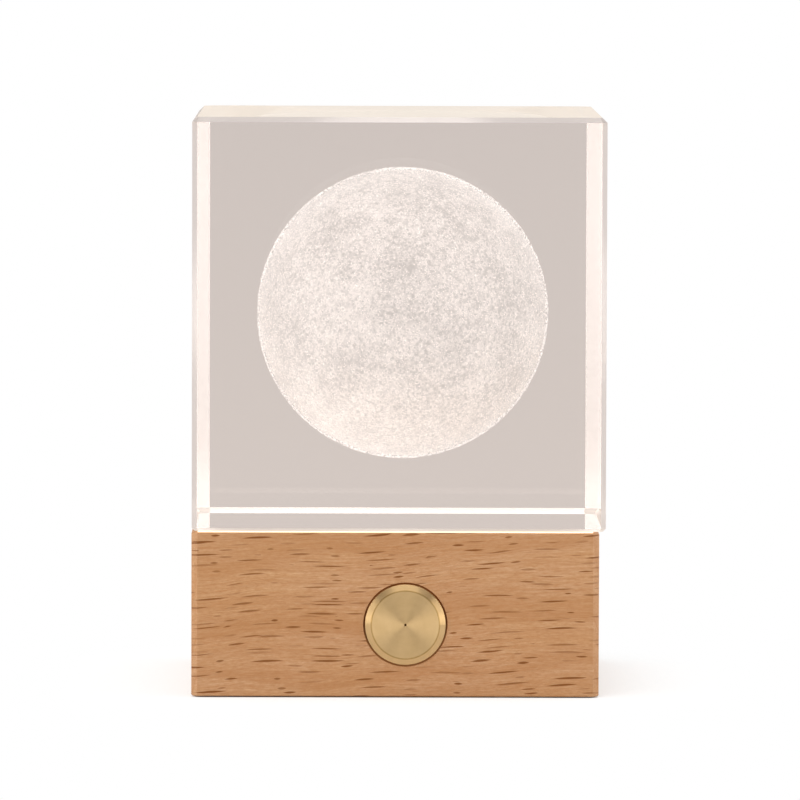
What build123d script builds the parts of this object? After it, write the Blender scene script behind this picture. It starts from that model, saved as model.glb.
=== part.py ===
from build123d import *
import os
from math import atan, cos, degrees, pi, sin

# Crystal cube night light
# A bevelled crystal cube with a moon engraved inside is bonded to a beech block.
# The block is hollow from below and holds a battery, a board with four lamps, a charging socket
# and a brass push-button that works a small switch. Everything is in millimetres.
# +Z is up, the button faces -Y, and the origin is on the table under the middle of the block.

# Beech block
base_side = 40.0
base_height = 16.08
base_corner_chamfer = 0.6
base_rim_chamfer = 0.12
base_wall = 4.0
pocket_corner_radius = 7.0
deck_thickness = 3.8

# Underside
pad_thickness = 0.8
pad_proud = 0.12
cover_thickness = 1.2
cover_rim = 2.0
recess_corner_radius = 3.0
cover_clearance = 0.2

# Crystal cube and the moon engraved in it
cube_side = 40.6
cube_bevel = 0.5
cube_rear_bevel = 1.3
cube_foot_bevel = 0.3
cube_shift = 0.33
film_thickness = 0.15
film_margin = 0.6
moon_diameter = 29.0
moon_shift = 0.4
moon_lift = 0.5
moon_sides = 26
moon_bands = 6
engraving_clearance = 0.02

# Light window and lamps
window_diameter = 19.8
window_thickness = 1.5
window_clearance = 0.1
window_ledge = 1.4
lamp_count = 4
lamp_circle_radius = 4.6
lamp_width = 3.5
lamp_depth = 2.8
lamp_height = 0.7
phosphor_width = 2.6
phosphor_length = 2.1
phosphor_depth = 0.3

# Push-button
button_x = 1.0
button_diameter = 7.9
button_proud = 0.4
button_chamfer_width = 0.6
button_chamfer_depth = 0.4
button_clearance = 0.2
button_flange_width = 0.8
button_flange_thickness = 0.8
button_mark_diameter = 0.36
button_mark_depth = 0.14
flange_gap = 0.05
flange_flat_gap = 0.3

# Small switch behind the button
switch_side = 6.0
switch_depth = 3.1
switch_cover_thickness = 0.2
switch_well_diameter = 4.8
switch_well_depth = 1.6
plunger_diameter = 3.4
plunger_proud = 0.9
plunger_gap = 0.02
plunger_flange_diameter = 4.4
plunger_flange_thickness = 0.5
plunger_nub_diameter = 2.0
plunger_clearance = 0.08
dome_diameter = 4.4
dome_rise = 0.55
dome_top_diameter = 2.0
dome_sheet = 0.08
dome_foot = 0.25
bracket_sheet = 0.3
bracket_height = 5.0
prong_width = 1.0
prong_clearance = 0.1
terminal_width = 0.6
terminal_spacing = 4.5

# Control board
board_thickness = 1.0
board_side_clearance = 0.3
board_rear_gap = 0.1
board_front_room = 1.7
board_corner_radius = 6.8
solder_gap = 0.02
prong_short = 0.2

# Parts soldered under the board: sizes as width, depth and height, places as x and y
charger_size = (2.9, 1.6, 1.1)
charger_place = (-6.0, 4.0)
charger_leg_spacing = 1.9
charger_legs_a_side = 2
driver_size = (4.9, 3.9, 1.4)
driver_place = (4.0, -1.0)
driver_leg_spacing = 1.27
driver_legs_a_side = 4
chip_leg_width = 0.4
chip_leg_reach = 0.9
chip_leg_height = 0.5
resistor_size = (1.6, 0.8, 0.45)
resistor_spacing = 2.6
resistor_pitch = 1.8
resistor_grid_places = ((-5.5, -1.5), (10.5, 0.0))
capacitor_size = (2.0, 1.25, 0.9)
capacitor_places = ((-10.8, 4.0), (-10.8, 0.5), (0.5, 6.0), (6.5, 5.0))

# Charging socket
socket_width = 8.94
socket_height = 3.26
socket_depth = 7.3
socket_sheet = 0.3
socket_clearance = 0.13
socket_core_depth = 2.4
tongue_width = 6.69
tongue_thickness = 0.7
tongue_setback = 0.5
contact_count = 6
contact_spacing = 0.9
contact_width = 0.4
contact_length = 3.2
contact_sheet = 0.05
contact_tail_depth = 0.3
plug_pocket_width = 13.0
plug_pocket_height = 7.0
plug_pocket_depth = 2.6
socket_leg_setback = 2.8
socket_leg_spacing = 3.4

# Battery
battery_width = 20.0
battery_thickness = 4.0
battery_edge_radius = 1.6
battery_front_room = 9.0
battery_rear_gap = 1.0
foam_thickness = 0.4
foam_margin = 2.0
tape_sheet = 0.1
tape_length = 3.0
tape_clearance = 0.02
lead_diameter = 1.0
lead_sides = 8
lead_spacing = 2.6
lead_side = 8.0
lead_reach = 4.2

# Screws
screw_shank_diameter = 1.6
screw_head_diameter = 3.0
screw_clearance = 0.05
cover_screw_length = 5.0
cover_screw_inset = 4.8
board_screw_grip = 2.0
board_screw_head_height = 0.9
board_screw_side_inset = 3.7
board_screw_rear_inset = 5.4

# Heights, from the table up
wood_bottom = pad_proud
wood_top = wood_bottom + base_height
cover_bottom = pad_thickness
cover_top = cover_bottom + cover_thickness
deck_bottom = wood_top - deck_thickness
board_bottom = deck_bottom - board_thickness
button_height = (cover_top + deck_bottom) / 2
window_bottom = wood_top - window_thickness
cube_bottom = wood_top + film_thickness
moon_height = cube_bottom + cube_side / 2 + moon_lift
battery_bottom = cover_top + foam_thickness
battery_middle = battery_bottom + battery_thickness / 2
socket_middle = board_bottom - solder_gap - socket_height / 2
prong_top = deck_bottom - prong_short

# Depths, from the front to the rear
front_face = -base_side / 2
rear_face = base_side / 2
pocket_front = front_face + base_wall
pocket_rear = rear_face - base_wall
button_face = front_face - button_proud
flange_front = pocket_front + flange_gap
flange_rear = flange_front + button_flange_thickness
plunger_tip = flange_rear + plunger_gap
switch_front = plunger_tip + plunger_proud
switch_body_front = switch_front + switch_cover_thickness
switch_rear = switch_body_front + switch_depth
well_floor = switch_body_front + switch_well_depth
dome_crown = well_floor - dome_rise
board_front = pocket_front + board_front_room
board_rear = pocket_rear - board_rear_gap
socket_nose = rear_face - plug_pocket_depth
socket_back = socket_nose - socket_depth
battery_rear = pocket_rear - battery_rear_gap
battery_front = pocket_front + battery_front_room

# Widths and places that several pieces share
pocket_side = base_side - 2 * base_wall
recess_side = base_side - 2 * cover_rim
cover_side = recess_side - 2 * cover_clearance
cover_corner_radius = recess_corner_radius - cover_clearance
board_width = pocket_side - 2 * board_side_clearance
window_seat_diameter = window_diameter + 2 * window_clearance
aperture_diameter = window_diameter - 2 * window_ledge
film_side = min(base_side, cube_side) - 2 * film_margin
pilot_radius = screw_shank_diameter / 2 + screw_clearance
cover_screw_spacing = base_side - 2 * cover_screw_inset
board_screw_x = board_width / 2 - board_screw_side_inset
board_screw_points = [(side * board_screw_x, board_rear - board_screw_rear_inset) for side in (-1, 1)]
bracket_side = switch_side + 2 * bracket_sheet
bracket_rear = switch_rear + bracket_sheet
prong_depth = (switch_body_front + switch_rear) / 2
prong_points = [
    (button_x + side * (switch_side + bracket_sheet) / 2, prong_depth) for side in (-1, 1)
]
terminal_points = [
    (button_x + side * terminal_spacing / 2, switch_rear - terminal_width) for side in (-1, 1)
]
socket_leg_points = [
    (side * (socket_width - socket_sheet) / 2, socket_nose - setback)
    for side in (-1, 1)
    for setback in (socket_leg_setback, socket_leg_setback + socket_leg_spacing)
]


def across(depth):
    # Upright plane at a depth, with X to the right and Z up; it extrudes towards the front.
    return Plane.XZ.offset(-depth)


# Section plane and turning axis of the button and the plunger
button_section = Plane(origin=(button_x, 0, button_height), x_dir=(1, 0, 0), z_dir=(0, 0, 1))
button_axis = Axis((button_x, 0, button_height), (0, 1, 0))


def facet_ball(radius):
    # Ball in flat facets near the cube's middle: tapered bands up from the widest ring, then a mirror.
    tilts = [pi / 2 * band / (moon_bands + 0.5) for band in range(moon_bands + 1)]
    with BuildPart() as ball:
        for low, high in zip(tilts, tilts[1:]):
            band_height = radius * (sin(high) - sin(low))
            band_taper = atan(cos(pi / moon_sides) * radius * (cos(low) - cos(high)) / band_height)
            with BuildSketch(Plane.XY.offset(moon_height + radius * sin(low))):
                with Locations((cube_shift + moon_shift, 0)):
                    RegularPolygon(radius * cos(low), moon_sides)
            extrude(amount=band_height, taper=degrees(band_taper))
        mirror(about=Plane.XY.offset(moon_height))
    return ball.part


def button_turning(points):
    # Outline of a piece turned about the button's axis, from (radius, depth) points.
    with BuildSketch(button_section) as section:
        with BuildLine():
            Polyline(*points, close=True)
        make_face()
    return section.sketch


# Block of beech, milled out from below
with BuildPart() as wood_base:
    with BuildSketch(Plane.XY.offset(wood_bottom)):
        Rectangle(base_side, base_side)
    extrude(amount=base_height)
    chamfer(wood_base.edges().filter_by(Axis.Z), base_corner_chamfer)
    chamfer(wood_base.faces().filter_by(Axis.Z).edges(), base_rim_chamfer)
    # Recess for the cover and the pad, and the pocket above it
    with BuildSketch(Plane.XY.offset(wood_bottom)):
        RectangleRounded(recess_side, recess_side, recess_corner_radius)
    extrude(amount=cover_top - wood_bottom, mode=Mode.SUBTRACT)
    with BuildSketch(Plane.XY.offset(cover_top)):
        RectangleRounded(pocket_side, pocket_side, pocket_corner_radius)
    extrude(amount=deck_bottom - cover_top, mode=Mode.SUBTRACT)
    # Way for the light, with a seat for its window
    with BuildSketch(Plane.XY.offset(deck_bottom)):
        Circle(aperture_diameter / 2)
    extrude(amount=deck_thickness, mode=Mode.SUBTRACT)
    with BuildSketch(Plane.XY.offset(window_bottom)):
        Circle(window_seat_diameter / 2)
    extrude(amount=window_thickness, mode=Mode.SUBTRACT)
    # Hole for the button
    with BuildSketch(across(pocket_front)):
        with Locations((button_x, button_height)):
            Circle(button_diameter / 2 + button_clearance)
    extrude(amount=base_wall, mode=Mode.SUBTRACT)
    # Pocket for the plug's grip, and the slot for the socket's nose
    with BuildSketch(across(rear_face)):
        with Locations((0, socket_middle)):
            SlotOverall(plug_pocket_width, plug_pocket_height)
    extrude(amount=plug_pocket_depth, mode=Mode.SUBTRACT)
    with BuildSketch(across(rear_face)):
        with Locations((0, socket_middle)):
            SlotOverall(socket_width + 2 * socket_clearance, socket_height + 2 * socket_clearance)
    extrude(amount=base_wall, mode=Mode.SUBTRACT)
    # Pilot holes for both sets of screws
    with BuildSketch(Plane.XY.offset(cover_top)):
        with GridLocations(cover_screw_spacing, cover_screw_spacing, 2, 2):
            Circle(pilot_radius)
    extrude(amount=cover_screw_length - cover_thickness + screw_clearance, mode=Mode.SUBTRACT)
    with BuildSketch(Plane.XY.offset(deck_bottom)):
        with Locations(*board_screw_points):
            Circle(pilot_radius)
    extrude(amount=board_screw_grip + screw_clearance, mode=Mode.SUBTRACT)
wood_base.part.label = "wood_base"

# Plate that closes the pocket, countersunk for its screws
with BuildPart() as bottom_cover:
    with BuildSketch(Plane.XY.offset(cover_bottom)):
        RectangleRounded(cover_side, cover_side, cover_corner_radius)
    extrude(amount=cover_thickness)
    with BuildSketch(Plane.XY.offset(cover_bottom)):
        with GridLocations(cover_screw_spacing, cover_screw_spacing, 2, 2):
            Circle(pilot_radius)
    extrude(amount=cover_thickness, mode=Mode.SUBTRACT)
    chamfer(
        bottom_cover.faces().sort_by(Axis.Z)[0].inner_wires().edges(),
        (screw_head_diameter - screw_shank_diameter) / 2,
    )
bottom_cover.part.label = "bottom_cover"

# Countersunk screws, heads level with the cover's underside
with BuildPart() as cover_screws:
    with BuildSketch(Plane.XY.offset(cover_bottom)):
        with GridLocations(cover_screw_spacing, cover_screw_spacing, 2, 2):
            Circle(screw_shank_diameter / 2)
    extrude(amount=cover_screw_length)
    with BuildSketch(Plane.XY.offset(cover_bottom)):
        with GridLocations(cover_screw_spacing, cover_screw_spacing, 2, 2):
            Circle(screw_head_diameter / 2)
    extrude(amount=(screw_head_diameter - screw_shank_diameter) / 2, taper=45)
cover_screws.part.label = "cover_screws"

# Soft pad under the cover, which the light stands on
with BuildPart() as grip_pad:
    with BuildSketch():
        RectangleRounded(cover_side, cover_side, cover_corner_radius)
    extrude(amount=pad_thickness)
grip_pad.part.label = "grip_pad"

# Crystal cube, ground off wider at its rear corners, with the room that the engraving takes up
with BuildPart() as crystal_cube:
    with BuildSketch(Plane.XY.offset(cube_bottom)):
        with Locations((cube_shift, 0)):
            Rectangle(cube_side, cube_side)
    extrude(amount=cube_side)
    # The upright edges first, then all those round the top and round the foot
    chamfer(crystal_cube.edges().filter_by(Axis.Z).group_by(Axis.Y)[0], cube_bevel)
    chamfer(crystal_cube.edges().filter_by(Axis.Z).group_by(Axis.Y)[-1], cube_rear_bevel)
    chamfer(crystal_cube.faces().sort_by(Axis.Z)[-1].edges(), cube_bevel)
    chamfer(crystal_cube.faces().sort_by(Axis.Z)[0].edges(), cube_foot_bevel)
    add(facet_ball(moon_diameter / 2 + engraving_clearance), mode=Mode.SUBTRACT)
crystal_cube.part.label = "crystal_cube"

# Moon, a ball of fine fractures inside the crystal
with BuildPart() as engraved_moon:
    add(facet_ball(moon_diameter / 2))
engraved_moon.part.label = "engraved_moon"

# Clear film that bonds the crystal to the wood, open over the window
with BuildPart() as adhesive_film:
    with BuildSketch(Plane.XY.offset(wood_top)):
        Rectangle(film_side, film_side)
        Circle(window_seat_diameter / 2, mode=Mode.SUBTRACT)
    extrude(amount=film_thickness)
adhesive_film.part.label = "adhesive_film"

# Opal disc that spreads the lamps' light
with BuildPart() as light_window:
    with BuildSketch(Plane.XY.offset(window_bottom)):
        Circle(window_diameter / 2)
    extrude(amount=window_thickness)
light_window.part.label = "light_window"

# Turned brass button, kept in by its flange
button_radius = button_diameter / 2
flange_radius = button_radius + button_flange_width
flange_height = deck_bottom - cover_top - 2 * flange_flat_gap
mark_radius = button_mark_diameter / 2
with BuildPart() as brass_button:
    revolve(
        button_turning(
            [
                (0, button_face + button_mark_depth),
                (mark_radius, button_face),
                (button_radius - button_chamfer_width, button_face),
                (button_radius, button_face + button_chamfer_depth),
                (button_radius, flange_front),
                (flange_radius, flange_front),
                (flange_radius, flange_rear),
                (0, flange_rear),
            ]
        ),
        axis=button_axis,
    )
    # Flats that keep a wide flange clear of the deck and the cover
    with BuildSketch(across(flange_rear)):
        with Locations((button_x, button_height)):
            Rectangle(pocket_side, base_height)
            Rectangle(pocket_side, flange_height, mode=Mode.SUBTRACT)
    extrude(amount=button_flange_thickness, mode=Mode.SUBTRACT)
brass_button.part.label = "brass_button"

# Moulded body of the switch, with a well for the dome
with BuildPart() as switch_body:
    with BuildSketch(across(switch_rear)):
        with Locations((button_x, button_height)):
            Rectangle(switch_side, switch_side)
    extrude(amount=switch_depth)
    with BuildSketch(across(well_floor)):
        with Locations((button_x, button_height)):
            Circle(switch_well_diameter / 2)
    extrude(amount=switch_well_depth, mode=Mode.SUBTRACT)
switch_body.part.label = "switch_body"

# Thin metal plate that holds the plunger in
with BuildPart() as switch_cover:
    with BuildSketch(across(switch_body_front)):
        with Locations((button_x, button_height)):
            Rectangle(switch_side, switch_side)
            Circle(plunger_diameter / 2 + plunger_clearance, mode=Mode.SUBTRACT)
    extrude(amount=switch_cover_thickness)
switch_cover.part.label = "switch_cover"

# Plunger between the button and the dome
plunger_flange_front = switch_body_front + flange_gap
plunger_flange_rear = plunger_flange_front + plunger_flange_thickness
plunger_nub_end = dome_crown - plunger_gap
with BuildPart() as switch_plunger:
    revolve(
        button_turning(
            [
                (0, plunger_tip),
                (plunger_diameter / 2, plunger_tip),
                (plunger_diameter / 2, plunger_flange_front),
                (plunger_flange_diameter / 2, plunger_flange_front),
                (plunger_flange_diameter / 2, plunger_flange_rear),
                (plunger_nub_diameter / 2, plunger_flange_rear),
                (plunger_nub_diameter / 2, plunger_nub_end),
                (0, plunger_nub_end),
            ]
        ),
        axis=button_axis,
    )
switch_plunger.part.label = "switch_plunger"

# Pressed snap dome that clicks and springs the plunger back
dome_rim = dome_diameter / 2
dome_top = dome_top_diameter / 2
with BuildPart() as switch_dome:
    revolve(
        button_turning(
            [
                (0, dome_crown),
                (dome_top, dome_crown),
                (dome_rim, well_floor),
                (dome_rim - dome_foot, well_floor),
                (dome_top - dome_sheet, dome_crown + dome_sheet),
                (0, dome_crown + dome_sheet),
            ]
        ),
        axis=button_axis,
    )
switch_dome.part.label = "switch_dome"

# Folded bracket that stands the switch on edge under the board
with BuildPart() as switch_bracket:
    with BuildSketch(Plane.XY.offset(button_height - bracket_height / 2)):
        with Locations((button_x, (switch_body_front + bracket_rear) / 2)):
            Rectangle(bracket_side, bracket_rear - switch_body_front)
        with Locations((button_x, prong_depth)):
            Rectangle(switch_side, switch_depth, mode=Mode.SUBTRACT)
    extrude(amount=bracket_height)
    with BuildSketch(Plane.XY.offset(button_height)):
        with Locations(*prong_points):
            Rectangle(bracket_sheet, prong_width)
    extrude(amount=prong_top - button_height)
switch_bracket.part.label = "switch_bracket"

# Two terminals from the switch up through the board
with BuildPart() as switch_terminals:
    with BuildSketch(Plane.XY.offset(button_height + switch_side / 2)):
        with Locations(*terminal_points):
            Rectangle(terminal_width, bracket_sheet)
    extrude(amount=prong_top - button_height - switch_side / 2)
switch_terminals.part.label = "switch_terminals"

# Control board against the underside of the deck
with BuildPart() as control_board:
    with BuildSketch(Plane.XY.offset(board_bottom)):
        with Locations((0, (board_front + board_rear) / 2)):
            RectangleRounded(board_width, board_rear - board_front, board_corner_radius)
        with Locations(*board_screw_points):
            Circle(pilot_radius, mode=Mode.SUBTRACT)
        with Locations(*prong_points, *socket_leg_points):
            Rectangle(
                bracket_sheet + 2 * prong_clearance,
                prong_width + 2 * prong_clearance,
                mode=Mode.SUBTRACT,
            )
        with Locations(*terminal_points):
            Rectangle(
                terminal_width + 2 * prong_clearance,
                bracket_sheet + 2 * prong_clearance,
                mode=Mode.SUBTRACT,
            )
    extrude(amount=board_thickness)
control_board.part.label = "control_board"

# Pan-head screws that pull the board up against the deck
with BuildPart() as board_screws:
    with BuildSketch(Plane.XY.offset(board_bottom)):
        with Locations(*board_screw_points):
            Circle(screw_shank_diameter / 2)
    extrude(amount=board_thickness + board_screw_grip)
    with BuildSketch(Plane.XY.offset(board_bottom - board_screw_head_height)):
        with Locations(*board_screw_points):
            Circle(screw_head_diameter / 2)
    extrude(amount=board_screw_head_height)
board_screws.part.label = "board_screws"


def lamp_places():
    # Lamp centres on a circle, all facing the same way.
    return PolarLocations(lamp_circle_radius, lamp_count, start_angle=45, rotate=False)


# Lamp packages on top of the board, each with a shallow cup
with BuildPart() as lamp_packages:
    with BuildSketch(Plane.XY.offset(deck_bottom)):
        with lamp_places():
            Rectangle(lamp_width, lamp_depth)
    extrude(amount=lamp_height)
    with BuildSketch(Plane.XY.offset(deck_bottom + lamp_height - phosphor_depth)):
        with lamp_places():
            Rectangle(phosphor_width, phosphor_length)
    extrude(amount=phosphor_depth, mode=Mode.SUBTRACT)
lamp_packages.part.label = "lamp_packages"

# Phosphor that fills the cups
with BuildPart() as lamp_phosphors:
    with BuildSketch(Plane.XY.offset(deck_bottom + lamp_height - phosphor_depth)):
        with lamp_places():
            Rectangle(phosphor_width, phosphor_length)
    extrude(amount=phosphor_depth)
lamp_phosphors.part.label = "lamp_phosphors"

# Charging socket: its rounded metal shell, with legs through the board
with BuildPart() as charging_socket_shell:
    with BuildSketch(across(socket_nose)):
        with Locations((0, socket_middle)):
            SlotOverall(socket_width, socket_height)
            SlotOverall(
                socket_width - 2 * socket_sheet,
                socket_height - 2 * socket_sheet,
                mode=Mode.SUBTRACT,
            )
    extrude(amount=socket_depth)
    with BuildSketch(Plane.XY.offset(socket_middle)):
        with Locations(*socket_leg_points):
            Rectangle(socket_sheet, prong_width)
    extrude(amount=prong_top - socket_middle)
charging_socket_shell.part.label = "charging_socket_shell"

# Moulded core that closes the rear of the shell and carries the tongue
with BuildPart() as charging_socket_tongue:
    with BuildSketch(across(socket_back)):
        with Locations((0, socket_middle)):
            SlotOverall(socket_width - 2 * socket_sheet, socket_height - 2 * socket_sheet)
    extrude(amount=-socket_core_depth)
    with BuildSketch(across(socket_back + socket_core_depth)):
        with Locations((0, socket_middle)):
            Rectangle(tongue_width, tongue_thickness)
    extrude(amount=socket_core_depth + tongue_setback - socket_depth)
charging_socket_tongue.part.label = "charging_socket_tongue"

# Contacts on both faces of the tongue, and their tails up to the board
contact_level = (tongue_thickness + contact_sheet) / 2
contact_middle = socket_back + socket_core_depth + contact_length / 2
with BuildPart() as charging_socket_contacts:
    with BuildSketch(across(contact_middle)):
        with Locations((0, socket_middle)):
            with GridLocations(contact_spacing, 2 * contact_level, contact_count, 2):
                Rectangle(contact_width, contact_sheet)
    extrude(amount=contact_length / 2, both=True)
    with BuildSketch(across(socket_back)):
        with Locations((0, (socket_middle + board_bottom) / 2)):
            with GridLocations(contact_spacing, contact_spacing, contact_count, 1):
                Rectangle(contact_width, board_bottom - socket_middle)
    extrude(amount=contact_tail_depth)
charging_socket_contacts.part.label = "charging_socket_contacts"

# Charger and driver chips, soldered under the board
with BuildPart() as circuit_chips:
    for place, size in ((charger_place, charger_size), (driver_place, driver_size)):
        with BuildSketch(Plane.XY.offset(board_bottom - solder_gap)):
            with Locations(place):
                Rectangle(size[0], size[1])
        extrude(amount=-size[2])
circuit_chips.part.label = "circuit_chips"

# Their legs, flat feet soldered along two sides
with BuildPart() as chip_legs:
    for place, size, spacing, count in (
        (charger_place, charger_size, charger_leg_spacing, charger_legs_a_side),
        (driver_place, driver_size, driver_leg_spacing, driver_legs_a_side),
    ):
        with BuildSketch(Plane.XY.offset(board_bottom)):
            with Locations(place):
                with GridLocations(spacing, size[1] + chip_leg_reach, count, 2):
                    Rectangle(chip_leg_width, chip_leg_reach)
        extrude(amount=-chip_leg_height)
chip_legs.part.label = "chip_legs"

# Resistors in two small grids
with BuildPart() as chip_resistors:
    with BuildSketch(Plane.XY.offset(board_bottom)):
        with Locations(*resistor_grid_places):
            with GridLocations(resistor_spacing, resistor_pitch, 2, 2):
                Rectangle(resistor_size[0], resistor_size[1])
    extrude(amount=-resistor_size[2])
chip_resistors.part.label = "chip_resistors"

# Capacitors round the chips
with BuildPart() as chip_capacitors:
    with BuildSketch(Plane.XY.offset(board_bottom)):
        with Locations(*capacitor_places):
            Rectangle(capacitor_size[0], capacitor_size[1])
    extrude(amount=-capacitor_size[2])
chip_capacitors.part.label = "chip_capacitors"

# Flat pouch battery with soft edges
with BuildPart() as battery_cell:
    with BuildSketch(across(battery_rear)):
        with Locations((0, battery_middle)):
            RectangleRounded(battery_width, battery_thickness, battery_edge_radius)
    extrude(amount=battery_rear - battery_front)
battery_cell.part.label = "battery_cell"

# Tape folded round the battery's front end
with BuildPart() as battery_end_tape:
    with BuildSketch(across(battery_front + tape_length)):
        with Locations((0, battery_middle)):
            RectangleRounded(
                battery_width + 2 * (tape_clearance + tape_sheet),
                battery_thickness + 2 * (tape_clearance + tape_sheet),
                battery_edge_radius + tape_clearance + tape_sheet,
            )
            RectangleRounded(
                battery_width + 2 * tape_clearance,
                battery_thickness + 2 * tape_clearance,
                battery_edge_radius + tape_clearance,
                mode=Mode.SUBTRACT,
            )
    extrude(amount=tape_length)
battery_end_tape.part.label = "battery_end_tape"

# Foam tape that sticks the battery to the cover
foam_front = battery_front + tape_length + foam_margin
foam_rear = battery_rear - foam_margin
with BuildPart() as battery_foam_tape:
    with BuildSketch(Plane.XY.offset(cover_top)):
        with Locations((0, (foam_front + foam_rear) / 2)):
            Rectangle(battery_width - 2 * foam_margin, foam_rear - foam_front)
    extrude(amount=foam_thickness)
battery_foam_tape.part.label = "battery_foam_tape"


def lead_route(offset_x):
    # Forward out of the battery, then up to the board in one wide bend.
    start = (-lead_side + offset_x, battery_front, battery_middle)
    corner = (-lead_side + offset_x, battery_front - lead_reach, battery_middle)
    end = (-lead_side + offset_x, battery_front - lead_reach, board_bottom)
    with BuildLine() as route:
        FilletPolyline(start, corner, end, radius=lead_reach - lead_diameter)
    return route.line


# Battery leads, one of each polarity
lead_start_plane = across(battery_front)
with BuildPart() as battery_lead_positive:
    with BuildSketch(lead_start_plane):
        with Locations((-lead_side, battery_middle)):
            RegularPolygon(lead_diameter / 2, lead_sides)
    sweep(path=lead_route(0))
battery_lead_positive.part.label = "battery_lead_positive"

with BuildPart() as battery_lead_negative:
    with BuildSketch(lead_start_plane):
        with Locations((-lead_side + lead_spacing, battery_middle)):
            RegularPolygon(lead_diameter / 2, lead_sides)
    sweep(path=lead_route(lead_spacing))
battery_lead_negative.part.label = "battery_lead_negative"

pieces = [
    wood_base,
    bottom_cover,
    cover_screws,
    grip_pad,
    crystal_cube,
    engraved_moon,
    adhesive_film,
    light_window,
    brass_button,
    switch_body,
    switch_cover,
    switch_plunger,
    switch_dome,
    switch_bracket,
    switch_terminals,
    control_board,
    board_screws,
    lamp_packages,
    lamp_phosphors,
    charging_socket_shell,
    charging_socket_tongue,
    charging_socket_contacts,
    circuit_chips,
    chip_legs,
    chip_resistors,
    chip_capacitors,
    battery_cell,
    battery_end_tape,
    battery_foam_tape,
    battery_lead_positive,
    battery_lead_negative,
]

os.makedirs("parts", exist_ok=True)
for piece in pieces:
    export_step(piece.part, f"parts/{piece.part.label}.step")
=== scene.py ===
from math import cos, pi, radians, sin, sqrt, tan

import bmesh
import bpy
import numpy as np
from mathutils import Matrix, Vector, kdtree, noise


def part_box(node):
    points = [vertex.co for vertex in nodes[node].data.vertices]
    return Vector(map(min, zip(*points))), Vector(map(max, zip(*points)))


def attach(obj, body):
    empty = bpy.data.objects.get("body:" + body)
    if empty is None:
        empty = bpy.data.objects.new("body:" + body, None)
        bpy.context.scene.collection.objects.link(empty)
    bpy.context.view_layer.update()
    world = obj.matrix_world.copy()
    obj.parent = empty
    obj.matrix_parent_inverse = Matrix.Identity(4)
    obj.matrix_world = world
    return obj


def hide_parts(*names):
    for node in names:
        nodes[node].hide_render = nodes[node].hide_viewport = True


# Crystal cube night light: a clear cube with a moon engraved in it, on a beech block with a brass button.
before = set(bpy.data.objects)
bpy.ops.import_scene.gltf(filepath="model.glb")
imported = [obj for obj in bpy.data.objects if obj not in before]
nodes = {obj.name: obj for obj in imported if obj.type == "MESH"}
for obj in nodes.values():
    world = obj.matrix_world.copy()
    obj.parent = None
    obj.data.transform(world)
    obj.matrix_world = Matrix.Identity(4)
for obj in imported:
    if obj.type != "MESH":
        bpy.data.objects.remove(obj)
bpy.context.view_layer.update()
mm = 0.001
print("frame loaded:", len(nodes), "nodes")


# Small tools

def linear(hexColour):
    # sRGB hex to the linear colour that the shaders take
    channels = [int(hexColour[place:place + 2], 16) / 255 for place in (1, 3, 5)]
    return tuple(c / 12.92 if c <= 0.04045 else ((c + 0.055) / 1.055) ** 2.4 for c in channels) + (1.0,)


def addNode(tree, kind, inputs=None, **settings):
    # one node with its settings; an input is a plain value, a hex colour, a socket, or a node that feeds it
    node = tree.nodes.new("ShaderNode" + kind)
    for name, value in settings.items():
        setattr(node, name, value)
    for name, value in (inputs or {}).items():
        if isinstance(name, str):
            name = next(
                spot for spot, socket in enumerate(node.inputs) if socket.enabled and socket.name == name
            )
        if isinstance(value, bpy.types.Node):
            value = next(socket for socket in value.outputs if socket.enabled)
        if isinstance(value, bpy.types.NodeSocket):
            tree.links.new(value, node.inputs[name])
        else:
            node.inputs[name].default_value = linear(value) if isinstance(value, str) else value
    return node


def newMaterial(name):
    material = bpy.data.materials.new(name)
    material.use_nodes = True
    material.node_tree.nodes.clear()
    return material, material.node_tree


def placeInMm(tree):
    # a point's place in mm, in the frame that all the pieces share
    place = addNode(tree, "TexCoord").outputs["Object"]
    return addNode(tree, "VectorMath", {0: place, 1: (1 / mm,) * 3}, operation="MULTIPLY")


def patches(tree, place, size, detail=3.0, roughness=0.6, contrast=0.2):
    # soft random patches from 0 to 1, about this many mm along each axis
    stretched = addNode(tree, "VectorMath", {0: place, 1: size}, operation="DIVIDE")
    cloud = addNode(tree, "TexNoise", {
        "Vector": stretched, "Scale": 1.0, "Detail": detail, "Roughness": roughness,
    })
    return addNode(tree, "MapRange", {"Value": cloud, "From Min": 0.5 - contrast, "From Max": 0.5 + contrast})


def newPiece(name, mesh, material, replaced, body="lamp_body"):
    # an object that stands for CAD nodes and rides on their body
    piece = bpy.data.objects.new(name, mesh)
    bpy.context.scene.collection.objects.link(piece)
    piece.data.materials.clear()
    piece.data.materials.append(material)
    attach(piece, body)
    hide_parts(*replaced)
    return piece


def dress(material, *names):
    # the same material on whole CAD nodes
    for name in names:
        nodes[name].data.materials.clear()
        nodes[name].data.materials.append(material)


# Camera, at the photograph's angle

camera = {
    "place": (-4.4, -819.0, 80.6),  # mm
    "yaw": 0.345,                   # degrees to the right
    "pitch": 3.675,                 # degrees down
    "roll": 0.167,                  # degrees
    "lens": 368.0,                  # mm, as the sensor
    "sensor": 36.0,
}


def makeCamera(look):
    data = bpy.data.cameras.new("camera")
    data.lens = look["lens"]
    data.sensor_width = look["sensor"]
    data.clip_start = 0.01
    data.clip_end = 20
    item = bpy.data.objects.new("camera", data)
    bpy.context.scene.collection.objects.link(item)
    turn = Matrix.Rotation(radians(-look["yaw"]), 4, "Z")
    tilt = Matrix.Rotation(pi / 2 - radians(look["pitch"]), 4, "X")
    roll = Matrix.Rotation(radians(look["roll"]), 4, "Z")
    item.matrix_world = Matrix.Translation(Vector(look["place"]) * mm) @ turn @ tilt @ roll
    bpy.context.scene.camera = item


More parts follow.
